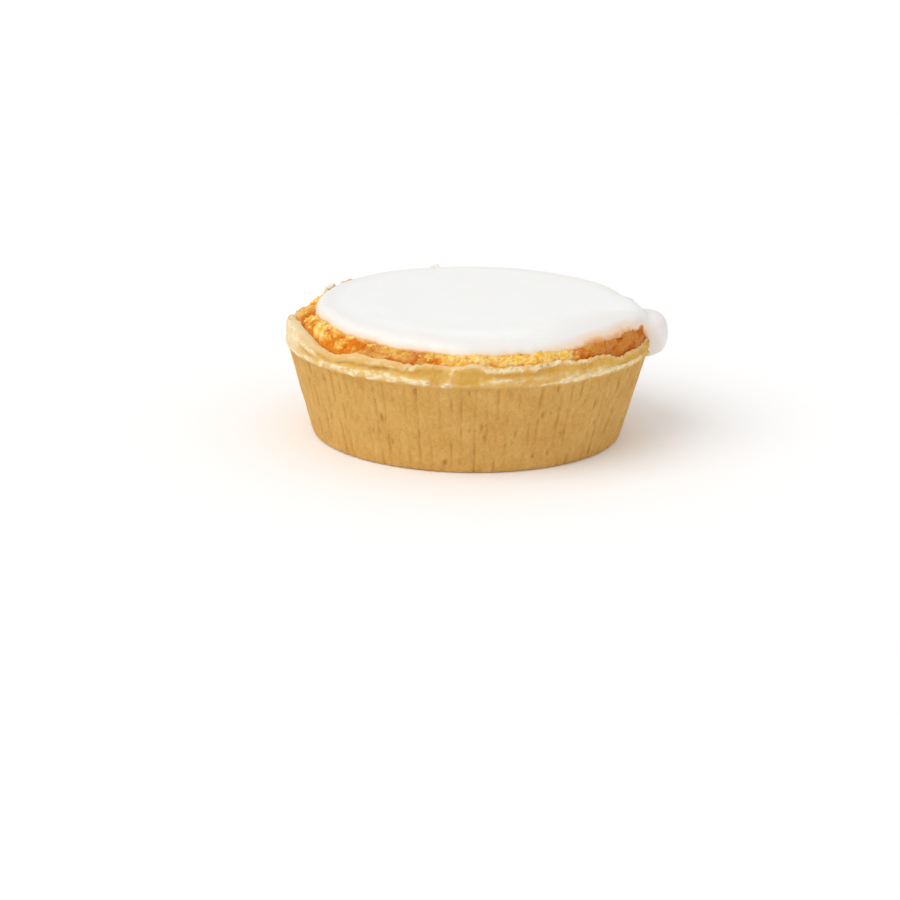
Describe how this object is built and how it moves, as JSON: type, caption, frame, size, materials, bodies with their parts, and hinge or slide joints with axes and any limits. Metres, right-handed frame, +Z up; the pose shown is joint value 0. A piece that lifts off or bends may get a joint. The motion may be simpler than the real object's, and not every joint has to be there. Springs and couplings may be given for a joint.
{
  "type": "almond tartlet",
  "caption": "Round almond tartlet: a pleated shortcrust cup filled with baked almond paste, topped with a thin sheet of white icing that has run over the rim at one side.",
  "frame": {"origin": "middle of the flat underside, on the axis of the crust", "axes": "+Z up along the axis of the crust, +X towards the lobe of icing on the rim, -Y towards the side that shows in the picture"},
  "size_m": [0.0738, 0.0706, 0.0259],
  "materials": {
    "baked_dough": null,
    "almond_paste": "moist, crumbly, orange-gold baked almond filling; stands in for food",
    "sugar_icing": "smooth, satin, slightly see-through white sugar icing; stands in for food"
  },
  "bodies": {
    "root": {"crust": "baked_dough", "almond_filling": "almond_paste", "icing": "sugar_icing"}
  },
  "joints": []
}
